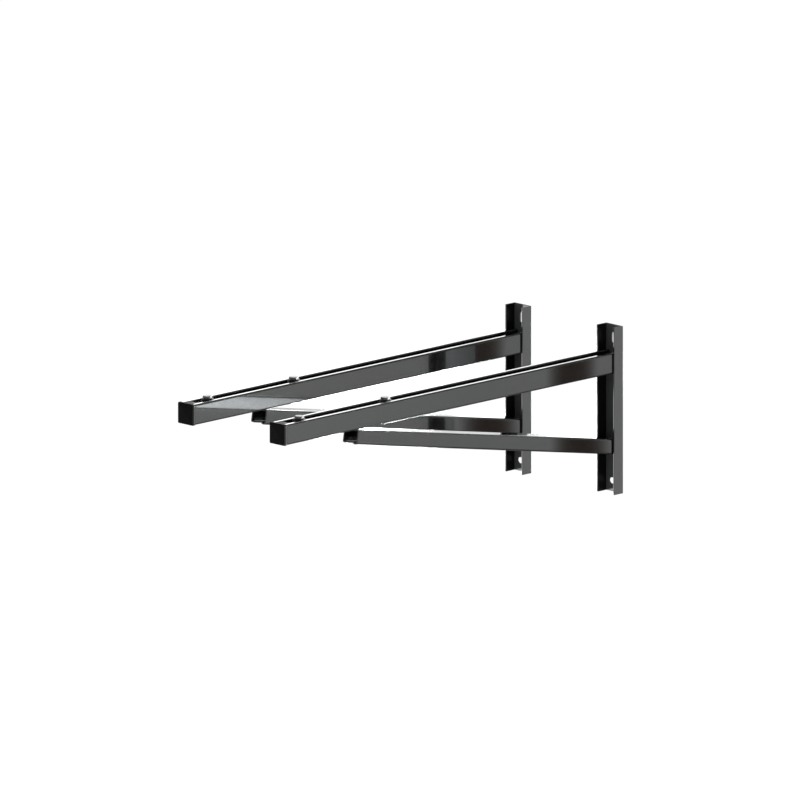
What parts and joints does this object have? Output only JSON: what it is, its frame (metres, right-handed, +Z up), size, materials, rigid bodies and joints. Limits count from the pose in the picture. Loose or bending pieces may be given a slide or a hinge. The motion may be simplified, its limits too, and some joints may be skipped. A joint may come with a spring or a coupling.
{
  "type": "bicycle wall rack",
  "caption": "Pair of braced wall brackets with slotted C-rail arms, plastic end caps and sliding bolts, in gloss black steel.",
  "frame": {"origin": "on the wall plane, halfway between the two brackets and level with the uprights' lower ends", "axes": "+X to the right for someone facing the wall, +Y into the wall, +Z up; the arms reach out along -Y"},
  "size_m": [0.2394, 0.7411, 0.2655],
  "materials": {
    "black_paint": "gloss black powder coat",
    "cap_plastic": "satin black moulded plastic",
    "fastener": "black zinc plate"
  },
  "bodies": {
    "root": {"left_upright": "black_paint", "left_arm_rail": "black_paint", "left_brace_rail": "black_paint", "left_arm_weld": "black_paint", "left_brace_weld": "black_paint", "left_knee_weld": "black_paint", "left_arm_end_cap": "cap_plastic", "right_upright": "black_paint", "right_arm_rail": "black_paint", "right_brace_rail": "black_paint", "right_arm_weld": "black_paint", "right_brace_weld": "black_paint", "right_knee_weld": "black_paint", "right_arm_end_cap": "cap_plastic"},
    "left_outer_slider": {"left_outer_bolt": "fastener", "left_outer_washer": "fastener", "left_outer_slot_nut": "fastener"},
    "left_inner_slider": {"left_inner_bolt": "fastener", "left_inner_washer": "fastener", "left_inner_slot_nut": "fastener"},
    "right_outer_slider": {"right_outer_bolt": "fastener", "right_outer_washer": "fastener", "right_outer_slot_nut": "fastener"},
    "right_inner_slider": {"right_inner_bolt": "fastener", "right_inner_washer": "fastener", "right_inner_slot_nut": "fastener"}
  },
  "joints": [
    {"name": "left_outer_slide", "type": "slide", "parent": "root", "child": "left_outer_slider", "axis": [0, -1, 0], "range_m": [-0.0845, 0.023]},
    {"name": "left_inner_slide", "type": "slide", "parent": "root", "child": "left_inner_slider", "axis": [0, -1, 0], "range_m": [-0.49, 0.0845]},
    {"name": "right_outer_slide", "type": "slide", "parent": "root", "child": "right_outer_slider", "axis": [0, -1, 0], "range_m": [-0.0845, 0.023]},
    {"name": "right_inner_slide", "type": "slide", "parent": "root", "child": "right_inner_slider", "axis": [0, -1, 0], "range_m": [-0.49, 0.0845]}
  ]
}
